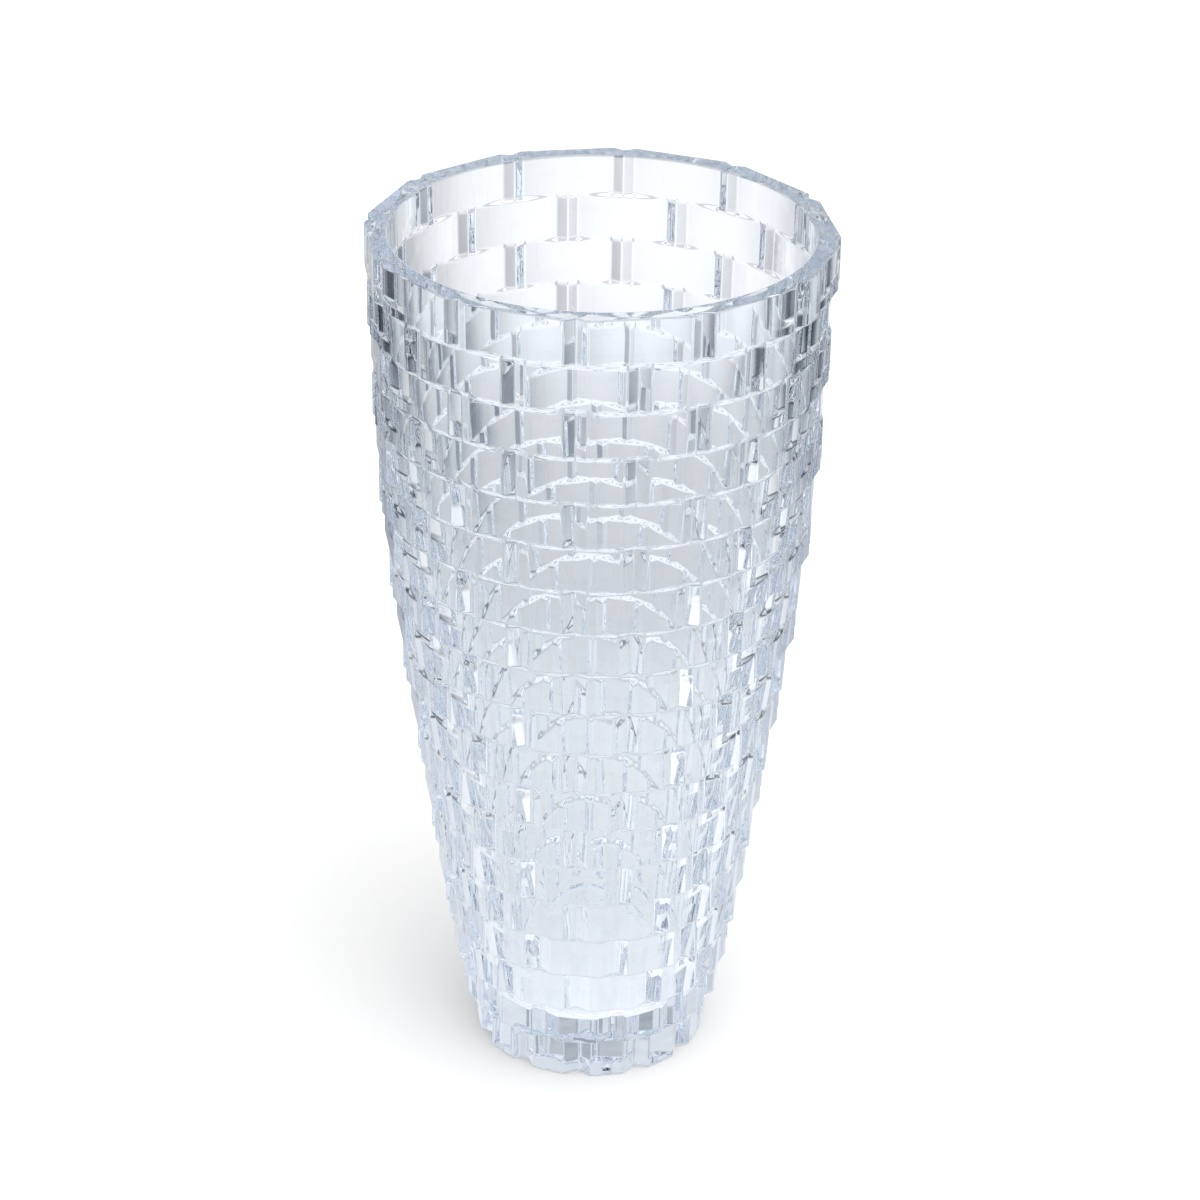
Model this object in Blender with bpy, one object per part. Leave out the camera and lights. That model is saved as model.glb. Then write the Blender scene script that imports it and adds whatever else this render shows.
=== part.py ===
"""Crystal vase: one pressed and fire-polished piece of clear glass, in metres, +Z up.

The outside is a stack of equal courses of flat-faced blocks, laid like brickwork: each course is
turned by half a block against its neighbours, and a V-groove parts each block from the next. The
courses step in towards the foot along a smooth profile. The inside is a plain turned bore over a
thick solid base. The origin is the centre of the foot's underside, and the grooves of the top
course lie on the X and Y axes.
"""

import math

import bpy
import numpy as np

# Driving dimensions, in metres
HEIGHT = 0.300
COURSES = 19
BLOCKS = 12  # blocks in one course
GAUGE_RADII = (0.0375, 0.0521, 0.0610, 0.0694, 0.0742, 0.0775)  # over the blocks' corners, foot to rim
GROOVE_HALF_WIDTH = (0.0049, 0.0038)  # at the foot, at the rim
GROOVE_DEPTH = (0.0035, 0.00215)  # below the blocks' corners, at the foot, at the rim
LEDGE_HEIGHT = 0.0016  # the sloping step between two courses

BASE_THICKNESS = 0.021  # solid glass under the bore
BORE_HEIGHTS = (0.026, 0.100, 0.200, 0.300)
BORE_RADII = (0.0349, 0.0465, 0.0617, 0.0685)
FLOOR_FILLET = 0.005  # radius between the bore's wall and its floor
RIM_EASE = 0.001  # bevel between the bore and the flat rim

WALL_RINGS = 9
FILLET_RINGS = 4

# Derived dimensions
COURSE_HEIGHT = HEIGHT / COURSES
SLOTS = 2 * BLOCKS  # a groove or a mid-face every half block
HALF_BLOCK = math.pi / BLOCKS

GLASS_COLOUR = (0.93, 0.95, 0.97, 1.0)
GLASS_ROUGHNESS = 0.03
GLASS_METALLIC = 0.0
GLASS_IOR = 1.50
SMOOTH_ANGLE = math.radians(20)


def curve_through(stations, values, at):
    """The lowest polynomial that passes through every (station, value), read at the given place."""
    return np.polyval(np.polyfit(stations, values, len(stations) - 1), at)


def corner_radius(z):
    """Distance from the axis to a block's corners at height z."""
    return curve_through(np.linspace(0, HEIGHT, len(GAUGE_RADII)), GAUGE_RADII, z)


def bore_radius(z):
    """Radius of the turned inside at height z."""
    return curve_through(BORE_HEIGHTS, BORE_RADII, z)


def graded(foot_and_rim, z):
    """A size that changes evenly from the foot to the rim."""
    return np.interp(z, (0, HEIGHT), foot_and_rim)


def course_outline(course):
    """Angles and radii of one course, three points for each slot: lip, bottom and lip of a groove,
    or three points along the flat face that lies over the next course's groove."""
    middle = HEIGHT - (course + 0.5) * COURSE_HEIGHT
    radius = corner_radius(middle)
    lip = graded(GROOVE_HALF_WIDTH, middle) / radius
    face = radius * math.cos(HALF_BLOCK - lip)
    slots = np.arange(SLOTS)
    angles = slots[:, None] * HALF_BLOCK + np.array([-lip, 0.0, lip])
    groove = np.array([radius, radius - graded(GROOVE_DEPTH, middle), radius])
    flat = np.array([face / math.cos(lip), face, face / math.cos(lip)])
    radii = np.where((slots % 2 == course % 2)[:, None], groove, flat)
    return angles.ravel(), radii.ravel()


def ring(angles, radii, z):
    """Points of a closed outline at height z."""
    return np.column_stack([radii * np.cos(angles), radii * np.sin(angles), np.full(len(angles), z)])


def outer_rings():
    """The outline of each course at its top and at its bottom, from the rim down to the foot."""
    rings = []
    for course in range(COURSES):
        angles, radii = course_outline(course)
        top = HEIGHT - course * COURSE_HEIGHT
        bottom = top - COURSE_HEIGHT
        rings.append(ring(angles, radii, top if course == 0 else top - LEDGE_HEIGHT / 2))
        rings.append(ring(angles, radii, 0.0 if course == COURSES - 1 else bottom + LEDGE_HEIGHT / 2))
    return rings


def bore_profile():
    """Radius and height along the bore, from the middle of its floor up to the rim."""
    wall_foot = BASE_THICKNESS + FLOOR_FILLET
    centre = bore_radius(wall_foot) - FLOOR_FILLET
    turns = np.linspace(0, math.pi / 2, FILLET_RINGS)
    fillet = [(centre + FLOOR_FILLET * math.sin(t), wall_foot - FLOOR_FILLET * math.cos(t)) for t in turns]
    heights = np.linspace(wall_foot, HEIGHT - RIM_EASE, WALL_RINGS)[1:]
    wall = [(bore_radius(z), z) for z in heights]
    return fillet + wall + [(bore_radius(HEIGHT) + RIM_EASE, HEIGHT)]


def bore_rings():
    """The bore as rings of as many points as the outside has, from its floor up to the rim."""
    angles, _ = course_outline(0)
    return [ring(angles, np.full(len(angles), radius), z) for radius, z in bore_profile()]


def skin(rings):
    """Quads between each ring and the next, and a flat face that closes the first and the last."""
    count = len(rings[0])
    faces = []
    for row in range(len(rings) - 1):
        for i in range(count):
            j = (i + 1) % count
            low, high = row * count, (row + 1) * count
            faces.append((low + i, low + j, high + j, high + i))
    faces.append(tuple(reversed(range(count))))
    faces.append(tuple((len(rings) - 1) * count + i for i in range(count)))
    return faces


def glass():
    """Clear lead-free crystal with a faint cool tint."""
    material = bpy.data.materials.new("clear_crystal")
    material.use_nodes = True
    shader = material.node_tree.nodes["Principled BSDF"]
    shader.inputs["Base Color"].default_value = GLASS_COLOUR
    shader.inputs["Roughness"].default_value = GLASS_ROUGHNESS
    shader.inputs["Metallic"].default_value = GLASS_METALLIC
    shader.inputs["IOR"].default_value = GLASS_IOR
    shader.inputs["Transmission Weight"].default_value = 1.0
    return material


def crystal_vase():
    """The whole vase as one closed skin: the foot, up the outside, over the rim, down the bore."""
    outside = list(reversed(outer_rings()))
    inside = list(reversed(bore_rings()))
    rings = outside + inside
    mesh = bpy.data.meshes.new("crystal_vase")
    mesh.from_pydata(np.concatenate(rings).tolist(), [], skin(rings))
    mesh.validate()
    mesh.materials.append(glass())
    mesh.shade_smooth()
    mesh.set_sharp_from_angle(angle=SMOOTH_ANGLE)
    vase = bpy.data.objects.new("crystal_vase", mesh)
    bpy.context.scene.collection.objects.link(vase)
    return vase


def clear_scene():
    """Take every object out of the open scene."""
    for thing in list(bpy.data.objects):
        bpy.data.objects.remove(thing, do_unlink=True)


clear_scene()
crystal_vase()
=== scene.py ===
"""A tall crystal vase as it looks: clear pressed glass with softened blocks, a ground rim and a flat
foot, standing on a pale floor in soft studio light.

Lengths are metres and angles radians unless a name says so.
"""

import logging
import math
from dataclasses import dataclass
from enum import Enum

import bpy
import numpy as np
from mathutils import Matrix, Vector


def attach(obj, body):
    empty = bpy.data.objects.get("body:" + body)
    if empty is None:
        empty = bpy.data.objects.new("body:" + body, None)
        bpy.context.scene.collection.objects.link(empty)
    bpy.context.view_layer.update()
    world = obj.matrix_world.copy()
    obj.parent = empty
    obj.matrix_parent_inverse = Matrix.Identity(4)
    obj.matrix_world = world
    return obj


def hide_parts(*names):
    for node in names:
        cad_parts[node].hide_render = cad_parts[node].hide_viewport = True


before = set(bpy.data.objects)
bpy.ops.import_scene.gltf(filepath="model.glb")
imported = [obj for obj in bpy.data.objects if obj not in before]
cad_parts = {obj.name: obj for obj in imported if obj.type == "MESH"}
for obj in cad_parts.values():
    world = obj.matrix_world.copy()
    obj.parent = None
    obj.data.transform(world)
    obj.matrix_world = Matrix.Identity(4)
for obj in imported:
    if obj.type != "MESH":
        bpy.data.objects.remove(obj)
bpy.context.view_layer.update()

NODE = "crystal_vase"
BODY = "root"
GROUND = "ground"  # the attribute that holds each face's share of ground finish
GLOW = "glow"  # the attribute that holds the light tent's brightness at each point
MM = 0.001
GLASS_BOUNCES = 24  # enough for light that is trapped in the wall to find its way out
MIRROR_BOUNCES = 12

log = logging.getLogger("crystal_vase")


# ---------------------------------------------------------------------------------------------------------
# Smooth joins between surfaces


def soft_min(a: np.ndarray, b: np.ndarray, blend: float) -> np.ndarray:
    """The lower of two heights, rounded off where they cross.

    Where the two differ by less than the blend, a parabola that touches both takes the corner's place:
    the lower one less blend / 4 times (1 - difference / blend) squared.

    Args:
        a: The first height.
        b: The second height.
        blend: The difference in height at which the rounding starts.

    Returns:
        The rounded lower envelope.
    """
    near = np.clip(1.0 - np.abs(a - b) / blend, 0.0, None)
    return np.minimum(a, b) - near**2 * blend / 4


def soft_max(a: np.ndarray, b: np.ndarray, blend: float) -> np.ndarray:
    """The higher of two heights, rounded off where they cross, as soft_min turned over."""
    return -soft_min(-a, -b, blend)


def smooth_step(x: np.ndarray) -> np.ndarray:
    """0 below 0, 1 above 1, and 3x^2 - 2x^3 between them."""
    x = np.clip(x, 0.0, 1.0)
    return x * x * (3 - 2 * x)


# ---------------------------------------------------------------------------------------------------------
# What the CAD model says


@dataclass(frozen=True)
class Course:
    """One ring of blocks: where it stands and the outline that its faces and grooves make."""

    low: float
    high: float
    corner: float
    depth: float
    lip: float
    first_groove: float


class CadVase:
    """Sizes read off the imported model's own points.

    The model is a stack of rings of points. A ring of the bore has one radius all round, and a ring of the
    outside has one at the corners of its blocks and a smaller one at the bottoms of its grooves.
    """

    TOLERANCE = 0.01 * MM
    DECIMALS = 6

    def __init__(self, node: bpy.types.Object) -> None:
        """Reads the rings of one CAD node.

        Args:
            node: The vase's node, whose points lie in the frame.
        """
        points = np.empty(len(node.data.vertices) * 3, np.float32)
        node.data.vertices.foreach_get("co", points)
        points = np.unique(np.round(points.reshape(-1, 3).astype(float), self.DECIMALS), axis=0)
        self.height = float(points[:, 2].max())
        outside, bore = self._rings(points)
        pairs = zip(outside[::2], outside[1::2])
        self.courses = [self._course(bottom, top) for bottom, top in pairs][::-1]
        self.bore = np.array(bore)
        self.blocks = round(2 * math.pi / self._pitch(outside[-1]))

    def _rings(self, points: np.ndarray) -> tuple[list[np.ndarray], list[tuple[float, float]]]:
        """Sorts the points into rings.

        Args:
            points: All the points of the model.

        Returns:
            The rings of the outside, from the foot up, each with a row of angle, radius and height for
            each point, and the radius and height of each ring of the bore, from its floor up.
        """
        angle = np.arctan2(points[:, 1], points[:, 0])
        radius = np.hypot(points[:, 0], points[:, 1])
        outside, bore = [], []
        for z in np.unique(points[:, 2]):
            level = points[:, 2] == z
            ring = np.column_stack([angle[level], radius[level], points[level, 2]])
            inner = ring[:, 1] < ring[:, 1].min() + self.TOLERANCE
            if inner.all() or z == self.height:
                bore.append((float(ring[inner, 1].mean()), float(z)))
            if not inner.all():
                ring = ring[~inner] if z == self.height else ring
                outside.append(ring[np.argsort(ring[:, 0])])
        return outside, bore

    def _pitch(self, ring: np.ndarray) -> float:
        """The angle from one groove of a ring to the next."""
        grooves = ring[ring[:, 1] < ring[:, 1].min() + self.TOLERANCE, 0]
        return float(np.median(np.diff(np.sort(grooves))))

    def _course(self, bottom: np.ndarray, top: np.ndarray) -> Course:
        """Measures one course.

        Args:
            bottom: Its lower ring.
            top: Its upper ring.

        Returns:
            Its heights, corner radius, groove depth, half the angle of a groove and where grooves start.
        """
        corner, valley = top[:, 1].max(), top[:, 1].min()
        grooves = top[top[:, 1] < valley + self.TOLERANCE, 0]
        corners = top[top[:, 1] > corner - self.TOLERANCE, 0]
        lip = np.abs(corners[:, None] - grooves[None, :]).min()
        return Course(
            low=float(bottom[0, 2]),
            high=float(top[0, 2]),
            corner=float(corner),
            depth=float(corner - valley),
            lip=float(lip),
            first_groove=float(grooves[np.abs(grooves).argmin()]),
        )


# ---------------------------------------------------------------------------------------------------------
# The glass


class Zone(Enum):
    """The parts of the vase's skin, each with how far grinding has taken off its fire polish."""

    BODY = 0.0
    RIM = 1.0
    FOOT = 0.1


@dataclass
class CrystalVase:
    """The vase: an outside of blocks, a flat rim, a turned bore and a flat foot, as one skin of glass.

    The corner and valley stations are offsets from a groove's lip and valley in half grooves, and the ledge
    stations are heights from a joint between two courses in half ledges.
    """

    cad: CadVase
    corner_softness: float = 0.8 * MM
    valley_softness: float = 0.55 * MM
    ledge_half: float = 1.0 * MM
    rim_rounding: float = 0.5 * MM
    foot_rounding: float = 0.8 * MM
    corner_stations: tuple[float, ...] = (-0.16, -0.07, 0.0, 0.07, 0.16)
    valley_stations: tuple[float, ...] = (-0.12, -0.05, 0.0, 0.05, 0.12)
    ledge_stations: tuple[float, ...] = (-1.4, -1.0, -0.6, -0.2, 0.2, 0.6, 1.0, 1.4)
    rounding_stations: int = 5
    bore_degree: int = 3
    bore_rings: int = 44
    fillet_rings: int = 8
    fillet_passes: int = 30
    floor_shares: tuple[float, ...] = (0.75, 0.5, 0.25)
    underside_shares: tuple[float, ...] = (0.3, 0.65, 0.9)

    def columns(self) -> tuple[np.ndarray, np.ndarray]:
        """Where the grid's columns stand round the vase.

        Each half block has one slot. A column's angle is its slot's angle plus its offset times half the
        angle of a groove, so that columns crowd at the lips and the valley of each groove, and one more
        column stands half way to the next slot.

        Returns:
            Each column's slot angle, and its offset in half grooves, with infinity for the half-way one.
        """
        lips = [side * (1 + s) for side in (-1, 1) for s in self.corner_stations]
        offsets = np.array(sorted(lips + list(self.valley_stations)) + [math.inf])
        slots = np.arange(2 * self.cad.blocks) * math.pi / self.cad.blocks
        return np.repeat(slots, len(offsets)), np.tile(offsets, len(slots))

    def angles(self, lip: np.ndarray) -> np.ndarray:
        """The angle of each column on rings whose grooves reach over the given half angles.

        Args:
            lip: Half the angle of a groove on each ring.

        Returns:
            One row of angles for each ring.
        """
        slots, offsets = self.columns()
        half_way = np.isinf(offsets)
        turn = lip[:, None] * np.where(half_way, 0.0, offsets)
        turn = np.where(half_way, math.pi / (2 * self.cad.blocks), turn)
        return np.sort((slots + turn) % (2 * math.pi), axis=1)

    def outline(self, course: Course, angle: np.ndarray) -> np.ndarray:
        """Radius of one course at the given angles.

        A block's face is a straight line across the block, radius = face distance / cos(angle from the
        block's middle). A groove's side is the straight line from the lip to the valley, whose inverse
        radius is (sin(lip - angle) / valley + sin(angle) / corner) / sin(lip). The outline is the lower of
        the face and the two sides' higher one, with every join rounded.

        Args:
            course: The course.
            angle: The angles, of any shape.

        Returns:
            The radii, of the same shape.
        """
        half_block = math.pi / self.cad.blocks
        turn = (angle - course.first_groove + half_block) % (2 * half_block) - half_block
        face = course.corner * math.cos(half_block - course.lip) / np.cos(np.abs(turn) - half_block)
        valley = course.corner - course.depth

        def side(x: np.ndarray) -> np.ndarray:
            """The line from the valley to the lip at +lip."""
            return math.sin(course.lip) / (np.sin(course.lip - x) / valley + np.sin(x) / course.corner)

        steep = course.depth / (course.corner * math.sin(course.lip))
        groove = soft_max(side(turn), side(-turn), 2 * steep * self.valley_softness)
        crossing = steep + math.tan(half_block - course.lip)
        return soft_min(face, groove, crossing * self.corner_softness)

    def outside(self) -> np.ndarray:
        """The outside from the rounded edge of the rim down to the rounded edge of the foot.

        Between two courses the radius steps from one outline to the other along 3x^2 - 2x^3 of the height,
        over the ledge's height. The edges of the rim and the foot are quarter circles, each inset by its
        rounding times (1 - cos of the turn) and set back by its rounding times (1 - sin of the turn).

        Returns:
            Points by ring and column.
        """
        courses = self.cad.courses
        last = len(courses) - 1
        turn = np.linspace(0, math.pi / 2, self.rounding_stations)
        stations = np.array(self.ledge_stations)
        rows = [(self.cad.height - self.rim_rounding * (1 - np.sin(turn[::-1])), 0, 0, 0.0)]
        for k in range(last):
            joint = (courses[k].low + courses[k + 1].high) / 2
            rows.append(([(courses[k].low + courses[k].high) / 2], k, k + 1, 0.0))
            rows.append((joint - stations * self.ledge_half, k, k + 1, (stations + 1) / 2))
        rows.append(([(courses[last].low + courses[last].high) / 2], last, last, 0.0))
        rows.append((self.foot_rounding * (1 - np.sin(turn)), last, last, 0.0))

        heights = np.concatenate([z for z, *_ in rows])
        above = np.concatenate([np.full(len(z), k) for z, k, *_ in rows])
        below = np.concatenate([np.full(len(z), k) for z, _, k, _ in rows])
        share = smooth_step(np.concatenate([np.broadcast_to(x, len(z)) for z, _, _, x in rows]))
        inset = np.zeros(len(heights))
        inset[: len(turn)] = self.rim_rounding * (1 - np.cos(turn[::-1]))
        inset[-len(turn) :] = self.foot_rounding * (1 - np.cos(turn))

        lips = np.array([course.lip for course in courses])
        angle = self.angles(lips[above] * (1 - share) + lips[below] * share)
        radius = np.zeros_like(angle)
        for k, course in enumerate(courses):
            weight = np.where(above == k, 1 - share, 0.0) + np.where(below == k, share, 0.0)
            rings = weight > 0
            radius[rings] += self.outline(course, angle[rings]) * weight[rings, None]
        radius -= inset[:, None]
        return self.turned(radius, angle, heights[:, None])

    @staticmethod
    def turned(radius: np.ndarray, angle: np.ndarray, height: np.ndarray) -> np.ndarray:
        """Points at the given radii, angles and heights, each for all points or for whole rings."""
        return np.stack(np.broadcast_arrays(radius * np.cos(angle), radius * np.sin(angle), height), -1)

    def bore_profile(self) -> np.ndarray:
        """Radius and height along the bore, from the rim down to the floor and in to its middle.

        The wall is the lowest polynomial through the CAD model's rings above the fillet, the fillet is the
        quarter circle between the wall and the floor, and a quarter circle rounds the edge at the rim. The
        fillet's radius is how far the wall stands out from the flat floor at that same height above it,
        which is found by putting each answer back in.

        Returns:
            One row of radius and height for each ring.
        """
        height, rings = self.cad.height, self.cad.bore
        flat_radius, floor = rings[0]
        wall = rings[(rings[:, 1] > floor + flat_radius) & (rings[:, 1] < height)]
        curve = np.polyfit(wall[:, 1], wall[:, 0], self.bore_degree)
        fillet = 0.0
        for _ in range(self.fillet_passes):
            fillet = float(np.polyval(curve, floor + fillet)) - flat_radius
        ease = height - wall[-1, 1]
        turn = np.linspace(math.pi / 2, 0, self.rounding_stations)
        rim_r = np.polyval(curve, height - ease) + ease * (1 - np.cos(turn))
        rim_z = height - ease * (1 - np.sin(turn))
        wall_z = np.linspace(height - ease, floor + fillet, self.bore_rings)[1:]
        wall_r = np.polyval(curve, wall_z)
        turn = np.linspace(0, math.pi / 2, self.fillet_rings + 1)[1:]
        fillet_r = wall_r[-1] - fillet + fillet * np.cos(turn)
        fillet_z = floor + fillet - fillet * np.sin(turn)
        floor_r = fillet_r[-1] * np.array(self.floor_shares)
        floor_z = np.full(len(floor_r), floor)
        return np.column_stack(
            [
                np.concatenate([rim_r, wall_r, fillet_r, floor_r]),
                np.concatenate([rim_z, wall_z, fillet_z, floor_z]),
            ]
        )

    def bore(self, edge: np.ndarray) -> np.ndarray:
        """The turned bore, its columns evenly spread and on average in line with the outside's.

        Args:
            edge: The outside's ring at the rim, one point for each column.

        Returns:
            Points by ring and column, from the rim down to the floor's middle.
        """
        profile = self.bore_profile()
        even = np.linspace(0, 2 * math.pi, len(edge), endpoint=False)
        start = np.unwrap(np.arctan2(edge[:, 1], edge[:, 0]))
        return self.turned(profile[:, :1], even + float(np.mean(start - even)), profile[:, 1:])

    def mesh(self) -> bpy.types.Mesh:
        """One closed skin: the foot's underside, the outside, the rim and the bore."""
        outside = self.outside()[::-1]
        bore = self.bore(outside[-1])
        under = np.stack([outside[0] * [share, share, 1] for share in self.underside_shares])
        rings = np.concatenate([under, outside, bore])
        rows, count, _ = rings.shape
        ends = [[0, 0, rings[0, 0, 2]], [0, 0, rings[-1, 0, 2]]]
        points = np.concatenate([rings.reshape(-1, 3), ends])
        i = np.arange(count)
        j = (i + 1) % count
        row = np.arange(rows - 1)[:, None] * count
        quads = np.stack([row + i, row + j, row + count + j, row + count + i], -1).reshape(-1, 4)
        last = (rows - 1) * count
        lower_fan = np.column_stack([np.full(count, rows * count), j, i])
        upper_fan = np.column_stack([np.full(count, rows * count + 1), last + i, last + j])
        zone = np.full((rows + 1, count), Zone.BODY.value, np.float32)
        zone[: len(under)] = Zone.FOOT.value
        zone[len(under) + len(outside) - 1] = Zone.RIM.value
        zone[rows - 1] = Zone.FOOT.value  # the fan that closes the underside
        mesh = bpy.data.meshes.new(NODE)
        mesh.from_pydata(points, [], quads.tolist() + lower_fan.tolist() + upper_fan.tolist())
        mesh.attributes.new(GROUND, "FLOAT", "FACE").data.foreach_set("value", zone.ravel())
        mesh.update()
        self.weighted_normals(mesh, points, [quads, lower_fan, upper_fan])
        return mesh

    @staticmethod
    def weighted_normals(mesh: bpy.types.Mesh, points: np.ndarray, faces: list[np.ndarray]) -> None:
        """Gives each point the mean normal of its faces, weighted by their areas.

        The cross product of a face's diagonals, or of a triangle's sides, is its normal times twice its
        area, so the plain sum over a point's faces is the weighted mean, and a broad flat face stays flat
        up to its edge.

        Args:
            mesh: The mesh.
            points: Its points.
            faces: The corners of its faces, in one array for each run of quads or triangles.
        """
        normals = np.zeros_like(points)
        for corners in faces:
            p = points[corners]
            across = np.cross(p[:, 2] - p[:, 0], p[:, -1] - p[:, 1])
            for corner in corners.T:
                np.add.at(normals, corner, across)
        normals /= np.linalg.norm(normals, axis=1, keepdims=True)
        mesh.shade_smooth()
        mesh.normals_split_custom_set_from_vertices(normals)

    def build(self) -> bpy.types.Object:
        """Makes the vase, dresses it and hangs it on its body."""
        vase = bpy.data.objects.new(NODE + "_glass", self.mesh())
        bpy.context.scene.collection.objects.link(vase)
        vase.data.materials.append(Crystal().material())
        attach(vase, BODY)
        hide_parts(NODE)
        return vase


# ---------------------------------------------------------------------------------------------------------
# Finishes


def node_group(
    name: str, inputs: dict[str, float], output: str
) -> tuple[bpy.types.NodeTree, bpy.types.Node, bpy.types.Node]:
    """Starts a shader node group with one value out.

    Args:
        name: The group's name.
        inputs: The name and default of each number that goes in.
        output: The name of the number that comes out.

    Returns:
        The group, its input node and its output node.
    """
    group = bpy.data.node_groups.new(name, "ShaderNodeTree")
    for label, default in inputs.items():
        socket = group.interface.new_socket(label, in_out="INPUT", socket_type="NodeSocketFloat")
        socket.default_value = default
    group.interface.new_socket(output, in_out="OUTPUT", socket_type="NodeSocketFloat")
    return group, group.nodes.new("NodeGroupInput"), group.nodes.new("NodeGroupOutput")


def ripple_group() -> bpy.types.NodeTree:
    """The slow waviness that a hot mould leaves in glass: broad noise plus a share of finer noise."""
    defaults = {"Waves per Metre": 62.0, "Fine Share": 0.05, "Fine Waves per Wave": 3.1}
    group, given, out = node_group("pressed_ripple", defaults, "Height")
    nodes, links = group.nodes, group.links
    place = nodes.new("ShaderNodeTexCoord").outputs["Object"]
    broad, fine = nodes.new("ShaderNodeTexNoise"), nodes.new("ShaderNodeTexNoise")
    quicker = nodes.new("ShaderNodeMath")
    quicker.operation = "MULTIPLY"
    links.new(given.outputs["Waves per Metre"], quicker.inputs[0])
    links.new(given.outputs["Fine Waves per Wave"], quicker.inputs[1])
    links.new(given.outputs["Waves per Metre"], broad.inputs["Scale"])
    links.new(quicker.outputs["Value"], fine.inputs["Scale"])
    for noise in (broad, fine):
        noise.inputs["Detail"].default_value = 1.0
        links.new(place, noise.inputs["Vector"])
    share = nodes.new("ShaderNodeMath")
    share.operation = "MULTIPLY_ADD"
    links.new(fine.outputs["Fac"], share.inputs[0])
    links.new(given.outputs["Fine Share"], share.inputs[1])
    links.new(broad.outputs["Fac"], share.inputs[2])
    links.new(share.outputs["Value"], out.inputs["Height"])
    return group


def specks_group() -> bpy.types.NodeTree:
    """Fine specks that grinding leaves: 1 inside small cells' cores and 0 between them."""
    defaults = {"Specks per Metre": 900.0, "Size": 0.32}
    group, given, out = node_group("grinding_specks", defaults, "Specks")
    nodes, links = group.nodes, group.links
    place = nodes.new("ShaderNodeTexCoord").outputs["Object"]
    cells = nodes.new("ShaderNodeTexVoronoi")
    links.new(place, cells.inputs["Vector"])
    links.new(given.outputs["Specks per Metre"], cells.inputs["Scale"])
    core = nodes.new("ShaderNodeMapRange")
    core.interpolation_type = "SMOOTHSTEP"
    links.new(cells.outputs["Distance"], core.inputs["Value"])
    links.new(given.outputs["Size"], core.inputs["From Max"])
    core.inputs["From Min"].default_value = 0.0
    core.inputs["To Min"].default_value = 1.0
    core.inputs["To Max"].default_value = 0.0
    links.new(core.outputs["Result"], out.inputs["Specks"])
    return group


@dataclass(frozen=True)
class Crystal:
    """Clear heavy crystal with a trace of blue, fire-polished all over but where its edges were ground.

    The ground finish has one roughness between its specks and another on them.
    """

    name: str = "pressed_crystal"
    colour: tuple[float, float, float] = (0.97, 0.985, 1.0)
    ior: float = 1.50
    ripple_depth: float = 0.09 * MM
    between_specks: float = 0.08
    on_specks: float = 0.30
    depth_colour: tuple[float, float, float] = (0.70, 0.80, 0.93)
    depth_density: float = 5.0

    def material(self) -> bpy.types.Material:
        """Builds the material."""
        material = bpy.data.materials.new(self.name)
        material.use_nodes = True
        nodes, links = material.node_tree.nodes, material.node_tree.links
        shader = nodes["Principled BSDF"]
        shader.inputs["Base Color"].default_value = (*self.colour, 1)
        shader.inputs["IOR"].default_value = self.ior
        shader.inputs["Transmission Weight"].default_value = 1.0
        ripple = nodes.new("ShaderNodeGroup")
        ripple.node_tree = ripple_group()
        bump = nodes.new("ShaderNodeBump")
        bump.inputs["Distance"].default_value = self.ripple_depth
        links.new(ripple.outputs["Height"], bump.inputs["Height"])
        links.new(bump.outputs["Normal"], shader.inputs["Normal"])
        depth = nodes.new("ShaderNodeVolumeAbsorption")
        depth.inputs["Color"].default_value = (*self.depth_colour, 1)
        depth.inputs["Density"].default_value = self.depth_density
        links.new(depth.outputs["Volume"], nodes["Material Output"].inputs["Volume"])
        specks = nodes.new("ShaderNodeGroup")
        specks.node_tree = specks_group()
        texture = nodes.new("ShaderNodeMapRange")
        texture.inputs["To Min"].default_value = self.between_specks
        texture.inputs["To Max"].default_value = self.on_specks
        ground = nodes.new("ShaderNodeAttribute")
        ground.attribute_name = GROUND
        roughness = nodes.new("ShaderNodeMath")
        roughness.operation = "MULTIPLY"
        links.new(specks.outputs["Specks"], texture.inputs["Value"])
        links.new(texture.outputs["Result"], roughness.inputs[0])
        links.new(ground.outputs["Fac"], roughness.inputs[1])
        links.new(roughness.outputs["Value"], shader.inputs["Roughness"])
        return material


# ---------------------------------------------------------------------------------------------------------
# Studio and camera


@dataclass(frozen=True)
class Shade:
    """A soft patch of more or less light on the ground, in metres to the right and away from the camera."""

    right: float
    away: float
    reach_right: float
    reach_away: float
    level: float


@dataclass(frozen=True)
class Glow:
    """A soft round patch of more or less light overhead, by its direction from the vase.

    Azimuth 0 is straight away from the camera and 90 is to its right.
    """

    azimuth_deg: float
    elevation_deg: float
    reach_deg: float
    level: float


@dataclass(frozen=True)
class Bearings:
    """The camera's directions on the floor."""

    azimuth_deg: float

    def away(self) -> np.ndarray:
        """The level direction away from the camera."""
        a = math.radians(self.azimuth_deg)
        return np.array([math.sin(a), math.cos(a)])

    def right(self) -> np.ndarray:
        """The level direction to the camera's right."""
        a = math.radians(self.azimuth_deg)
        return np.array([math.cos(a), -math.sin(a)])


def direction(glow: Glow, bearings: Bearings) -> np.ndarray:
    """The unit vector towards the middle of a glow."""
    a, e = math.radians(glow.azimuth_deg), math.radians(glow.elevation_deg)
    level = math.cos(a) * bearings.away() + math.sin(a) * bearings.right()
    return np.array([*(level * math.cos(e)), math.sin(e)])


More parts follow.
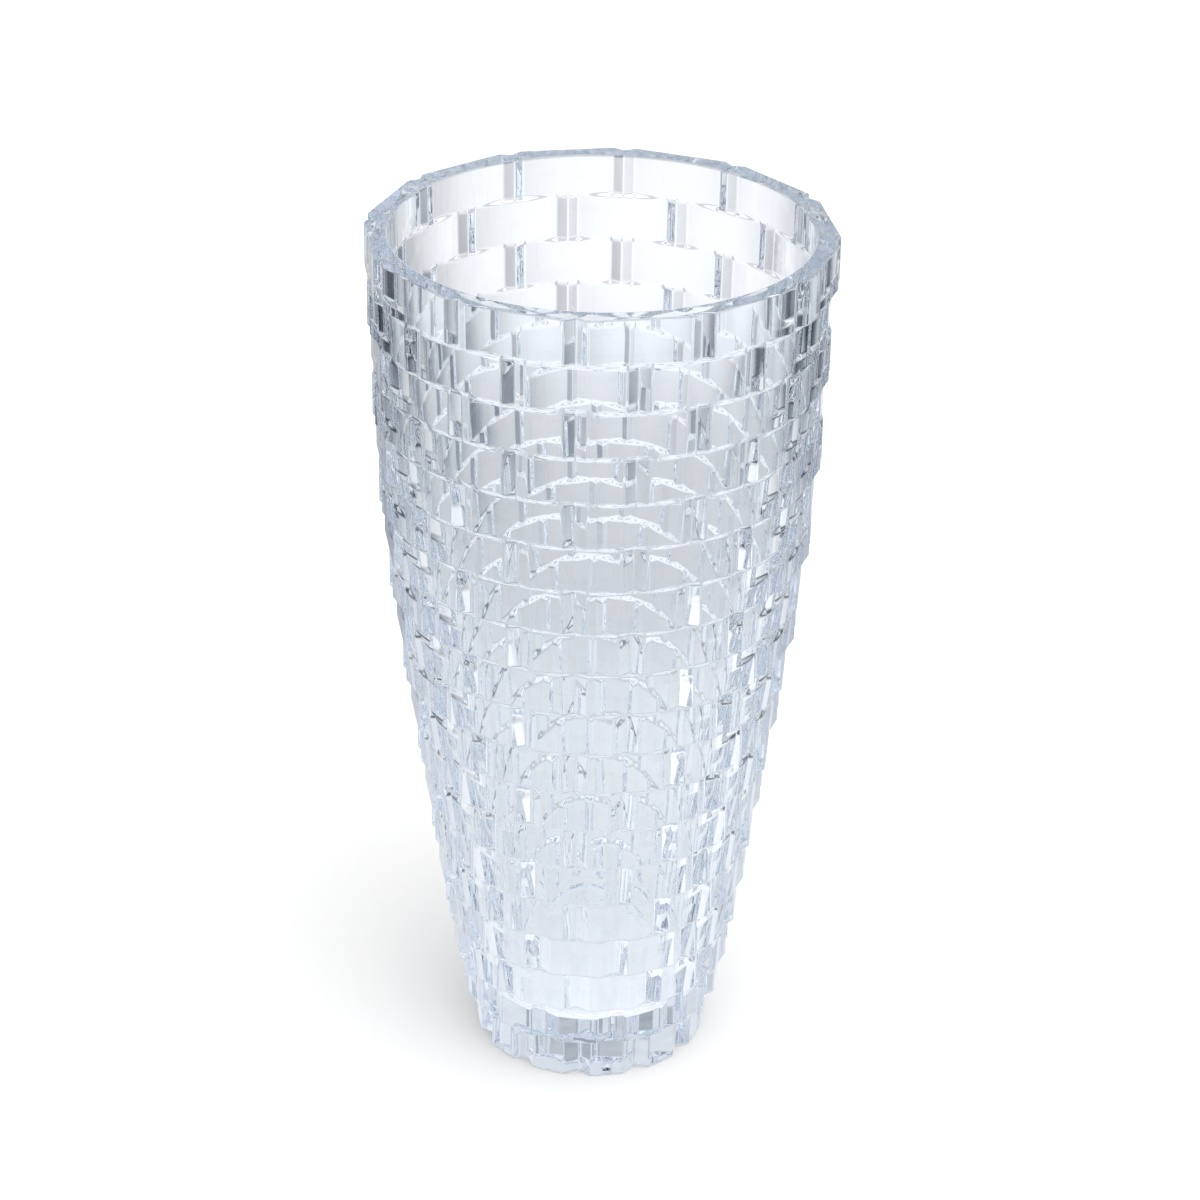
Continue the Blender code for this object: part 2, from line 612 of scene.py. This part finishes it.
@dataclass
class LightTent:
    """The light that the glass gathers: a ground and a dome of graded brightness.

    Only rays bent or mirrored by the glass meet it, so it stands in for the white cards and dark flags that
    a studio hides round a piece of glass, and leaves the paper floor as plain as it is.
    """

    bearings: Bearings
    ground_level: float = 0.70
    ground: tuple[Shade, ...] = (
        Shade(-0.02, 0.36, 0.96, 0.47, -1.01),  # the wide dim stretch behind the vase
        Shade(0.04, 0.59, 0.30, 0.28, 0.66),  # lit again in its middle
        Shade(0.07, 1.20, 0.50, 0.80, 0.40),  # and further back
        Shade(0.04, -0.22, 0.73, 0.60, 1.20),  # the bright floor in front
        Shade(-0.13, -0.32, 0.77, 0.25, -0.80),  # which falls off towards the camera
        Shade(0.77, 0.20, 0.56, 0.05, -0.47),  # a thin flag on the right
        Shade(-0.02, 0.03, 0.14, 0.07, -0.31),  # the vase's own shade
        Shade(-0.47, 0.36, 0.17, 0.19, -0.28),  # flags behind on the left
        Shade(0.47, 0.34, 0.17, 0.19, -0.34),  # and on the right
        Shade(-0.20, 0.33, 0.07, 0.10, -0.22),  # and a small one nearer the middle
        Shade(0.00, 0.01, 0.035, 0.05, 0.10),  # light gathered under the foot
    )
    dome_level: float = 0.92
    belt_level: float = -0.38
    belt_deg: float = 27.0
    belt_reach_deg: float = 7.0
    dome: tuple[Glow, ...] = (
        Glow(268, 0, 31, -0.45),  # the darker room on the left
        Glow(38, 61, 14, -0.52),  # gaps between the lamps overhead
        Glow(298, 61, 14, -0.80),
        Glow(127, 64, 18, 0.80),  # the lamp overhead on the right
        Glow(70, 24, 22, 0.42),  # the card on the right
        Glow(0, 27, 14, -0.52),  # the dark top of the backdrop
        Glow(0, 8, 12, 0.35),  # and its bright foot
    )
    darkest: float = 0.03
    tint: tuple[float, float, float] = (1.01, 1.03, 1.06)
    dark_tint: tuple[float, float, float] = (0.72, 0.90, 1.22)
    tint_from: float = 0.55
    radius: float = 10.0
    ground_drop: float = 0.1 * MM
    spokes: int = 96
    innermost: float = 0.004
    near_reach: float = 1.6
    near_rings: int = 130
    far_from: float = 1.7
    far_rings: int = 12
    climb_deg: tuple[float, float] = (1.5, 89.5)
    dome_rings: int = 60

    def ground_light(self, right: np.ndarray, away: np.ndarray) -> np.ndarray:
        """Brightness of the ground.

        It is the ground's level plus each shade's level times exp(-(right / reach right)^2 - (away / reach
        away)^2), measured from the shade's middle.

        Args:
            right: Metres to the camera's right.
            away: Metres away from the camera.

        Returns:
            The brightness at each place.
        """
        light = np.full(right.shape, self.ground_level)
        for shade in self.ground:
            across = (right - shade.right) / shade.reach_right
            along = (away - shade.away) / shade.reach_away
            light += shade.level * np.exp(-(across**2) - along**2)
        return light

    def dome_light(self, sky: np.ndarray, climb: np.ndarray) -> np.ndarray:
        """Brightness of the dome.

        It is the dome's level plus a belt all round and each glow, every one its level times
        exp(-(angle / reach)^2) of the angle from its middle.

        Args:
            sky: Unit vectors towards the dome's points.
            climb: Their angles above the ground.

        Returns:
            The brightness at each point.
        """
        belt = (np.degrees(climb) - self.belt_deg) / self.belt_reach_deg
        light = self.dome_level + self.belt_level * np.exp(-(belt**2)) + np.zeros(sky.shape[:2])
        for glow in self.dome:
            angle = np.degrees(np.arccos(np.clip(sky @ direction(glow, self.bearings), -1, 1)))
            light += glow.level * np.exp(-((angle / glow.reach_deg) ** 2))
        return light

    def surface(self) -> tuple[np.ndarray, np.ndarray]:
        """Points of the tent and their brightness.

        Returns:
            Points by ring and spoke, from the middle of the ground out and up, and brightness likewise.
        """
        near = np.linspace(self.innermost, self.near_reach, self.near_rings)
        reach = np.concatenate([near, np.geomspace(self.far_from, self.radius, self.far_rings)])[:, None]
        turn = np.linspace(0, 2 * math.pi, self.spokes, endpoint=False)
        right, away = reach * np.sin(turn), reach * np.cos(turn)
        plane = right[..., None] * self.bearings.right() + away[..., None] * self.bearings.away()
        floor = np.concatenate([plane, np.full(right.shape + (1,), -self.ground_drop)], -1)
        climb = np.radians(np.linspace(*self.climb_deg, self.dome_rings))[:, None]
        level = np.cos(turn)[:, None] * self.bearings.away() + np.sin(turn)[:, None] * self.bearings.right()
        rise = np.broadcast_to(np.sin(climb)[..., None], (self.dome_rings, self.spokes, 1))
        sky = np.concatenate([np.cos(climb)[..., None] * level, rise], -1)
        light = np.concatenate([self.ground_light(right, away), self.dome_light(sky, climb)])
        return np.concatenate([floor, sky * self.radius]), np.maximum(light, self.darkest)

    def build(self) -> bpy.types.Object:
        """Makes the tent and keeps it out of the camera's own sight and off the floor's light."""
        points, glow = self.surface()
        rows, count = glow.shape
        i = np.arange(count)
        row = np.arange(rows - 1)[:, None] * count
        j = (i + 1) % count
        quads = np.stack([row + i, row + j, row + count + j, row + count + i], -1)
        mesh = bpy.data.meshes.new("light_tent")
        caps = [list(range(count)), list(range((rows - 1) * count, rows * count))]
        mesh.from_pydata(points.reshape(-1, 3), [], quads.reshape(-1, 4).tolist() + caps)
        brightness = mesh.attributes.new(GLOW, "FLOAT", "POINT")
        brightness.data.foreach_set("value", glow.ravel().astype(np.float32))
        mesh.materials.append(self.material())
        tent = bpy.data.objects.new("light_tent", mesh)
        bpy.context.scene.collection.objects.link(tent)
        tent.visible_camera = tent.visible_diffuse = tent.visible_shadow = False
        tent.visible_volume_scatter = False
        return tent

    def material(self) -> bpy.types.Material:
        """Even light whose strength is the brightness kept at each point, bluer where it is dim."""
        material = bpy.data.materials.new("tent_light")
        material.use_nodes = True
        material.cycles.emission_sampling = "NONE"
        nodes, links = material.node_tree.nodes, material.node_tree.links
        nodes.clear()
        glow = nodes.new("ShaderNodeAttribute")
        glow.attribute_name = GLOW
        light = nodes.new("ShaderNodeEmission")
        share = nodes.new("ShaderNodeMapRange")
        share.inputs["From Max"].default_value = self.tint_from
        tint = nodes.new("ShaderNodeMix")
        tint.data_type = "RGBA"
        tint.inputs["A"].default_value = (*self.dark_tint, 1)
        tint.inputs["B"].default_value = (*self.tint, 1)
        links.new(glow.outputs["Fac"], share.inputs["Value"])
        links.new(share.outputs["Result"], tint.inputs["Factor"])
        links.new(tint.outputs["Result"], light.inputs["Color"])
        links.new(glow.outputs["Fac"], light.inputs["Strength"])
        links.new(light.outputs["Emission"], nodes.new("ShaderNodeOutputMaterial").inputs["Surface"])
        return material


@dataclass
class Studio:
    """A pale paper floor under soft light from overhead, a little stronger from the right."""

    bearings: Bearings
    sky_level: float = 0.8
    lamps: tuple[Glow, ...] = (Glow(148, 60, 32, 2.6),)
    paper: tuple[float, float, float] = (0.9, 0.9, 0.9)
    paper_half: float = 9.0
    paper_drop: float = 0.2 * MM

    def build(self) -> None:
        """Makes the floor and the sky over it."""
        self.floor()
        self.sky()

    def floor(self) -> bpy.types.Object:
        """A plain square of pale matt paper just under the foot."""
        h, z = self.paper_half, -self.paper_drop
        mesh = bpy.data.meshes.new("floor")
        mesh.from_pydata([(-h, -h, z), (h, -h, z), (h, h, z), (-h, h, z)], [], [(0, 1, 2, 3)])
        floor = bpy.data.objects.new("floor", mesh)
        bpy.context.scene.collection.objects.link(floor)
        material = bpy.data.materials.new("pale_paper")
        material.use_nodes = True
        shader = material.node_tree.nodes["Principled BSDF"]
        shader.inputs["Base Color"].default_value = (*self.paper, 1)
        shader.inputs["Roughness"].default_value = 1.0
        shader.inputs["Specular IOR Level"].default_value = 0.0
        mesh.materials.append(material)
        floor.visible_glossy = floor.visible_transmission = False
        return floor

    def sky(self) -> None:
        """The world: an even level with soft lamps in it, each exp(-(angle / reach)^2) of its own level."""
        world = bpy.data.worlds.new("studio")
        bpy.context.scene.world = world
        world.use_nodes = True
        tree = world.node_tree
        look = tree.nodes.new("ShaderNodeTexCoord").outputs["Generated"]
        total = self.sky_level
        for lamp in self.lamps:
            facing = self.along(tree, look, direction(lamp, self.bearings))
            angle = self.maths(tree, "ARCCOSINE", facing)
            share = self.maths(tree, "MULTIPLY", angle, 1 / math.radians(lamp.reach_deg))
            square = self.maths(tree, "MULTIPLY", share, share)
            fall = self.maths(tree, "POWER", math.exp(-1), square)
            total = self.maths(tree, "ADD", self.maths(tree, "MULTIPLY", fall, lamp.level), total)
        background = tree.nodes["Background"]
        background.inputs["Color"].default_value = (1, 1, 1, 1)
        tree.links.new(total, background.inputs["Strength"])

    @staticmethod
    def along(
        tree: bpy.types.NodeTree, look: bpy.types.NodeSocket, towards: np.ndarray
    ) -> bpy.types.NodeSocket:
        """The cosine of the angle between the way a ray looks and a fixed direction."""
        node = tree.nodes.new("ShaderNodeVectorMath")
        node.operation = "DOT_PRODUCT"
        tree.links.new(look, node.inputs[0])
        node.inputs[1].default_value = tuple(towards)
        return node.outputs["Value"]

    @staticmethod
    def maths(
        tree: bpy.types.NodeTree, operation: str, *values: bpy.types.NodeSocket | float
    ) -> bpy.types.NodeSocket:
        """One operation on sockets or numbers.

        Args:
            tree: The node tree.
            operation: The operation's name, as Blender spells it.
            values: What it works on.

        Returns:
            The socket that holds the result.
        """
        node = tree.nodes.new("ShaderNodeMath")
        node.operation = operation
        for slot, value in zip(node.inputs, values):
            if isinstance(value, bpy.types.NodeSocket):
                tree.links.new(value, slot)
            else:
                slot.default_value = value
        return node.outputs["Value"]


@dataclass(frozen=True)
class Viewpoint:
    """Where the camera stands, in vase heights, and how it is turned."""

    distance: float = 3.893
    elevation_deg: float = 27.32
    azimuth_deg: float = -5.57
    aim_height: float = 0.5548
    pan_deg: float = 0.063
    roll_deg: float = 0.894
    lens_mm: float = 103.8
    sensor_mm: float = 36.0
    nearest: float = 0.01
    farthest: float = 100.0

    def build(self, height: float) -> bpy.types.Object:
        """Makes the camera.

        Args:
            height: The vase's height.

        Returns:
            The camera, which is the scene's own from now on.
        """
        azimuth, elevation = math.radians(self.azimuth_deg), math.radians(self.elevation_deg)
        along = math.cos(elevation)
        forward = Vector((math.sin(azimuth) * along, math.cos(azimuth) * along, -math.sin(elevation)))
        right = forward.cross(Vector((0, 0, 1))).normalized()
        place = Vector((0, 0, self.aim_height * height)) - forward * self.distance * height
        up = right.cross(forward)
        pan, roll = math.radians(self.pan_deg), math.radians(self.roll_deg)
        ahead = math.cos(pan) * forward + math.sin(pan) * right
        level = math.cos(pan) * right - math.sin(pan) * forward
        x = math.cos(roll) * level + math.sin(roll) * up
        y = math.cos(roll) * up - math.sin(roll) * level
        turn = Matrix((x, y, -ahead)).transposed()
        camera = bpy.data.objects.new("camera", bpy.data.cameras.new("camera"))
        camera.matrix_world = Matrix.Translation(place) @ turn.to_4x4()
        camera.data.lens = self.lens_mm
        camera.data.sensor_width = self.sensor_mm
        camera.data.dof.use_dof = False
        camera.data.clip_start = self.nearest
        camera.data.clip_end = self.farthest
        bpy.context.scene.collection.objects.link(camera)
        bpy.context.scene.camera = camera
        return camera


def light_paths(scene: bpy.types.Scene) -> None:
    """Lets light pass through the glass as often as it has to, and shows its levels as they are."""
    scene.view_settings.view_transform = "Standard"
    scene.cycles.max_bounces = GLASS_BOUNCES
    scene.cycles.transmission_bounces = GLASS_BOUNCES
    scene.cycles.glossy_bounces = MIRROR_BOUNCES
    scene.cycles.caustics_refractive = True
    scene.cycles.caustics_reflective = True


def main() -> None:
    """Builds the vase, its studio and the camera, and reports each piece."""
    logging.basicConfig(level=logging.INFO, format="%(name)s: %(message)s")
    light_paths(bpy.context.scene)
    cad = CadVase(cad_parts[NODE])
    log.info("the model has %d courses of %d blocks", len(cad.courses), cad.blocks)
    vase = CrystalVase(cad).build()
    log.info("%s: %d faces", vase.name, len(vase.data.polygons))
    view = Viewpoint()
    bearings = Bearings(view.azimuth_deg)
    Studio(bearings).build()
    LightTent(bearings).build()
    view.build(cad.height)


if __name__ == "__main__":
    main()
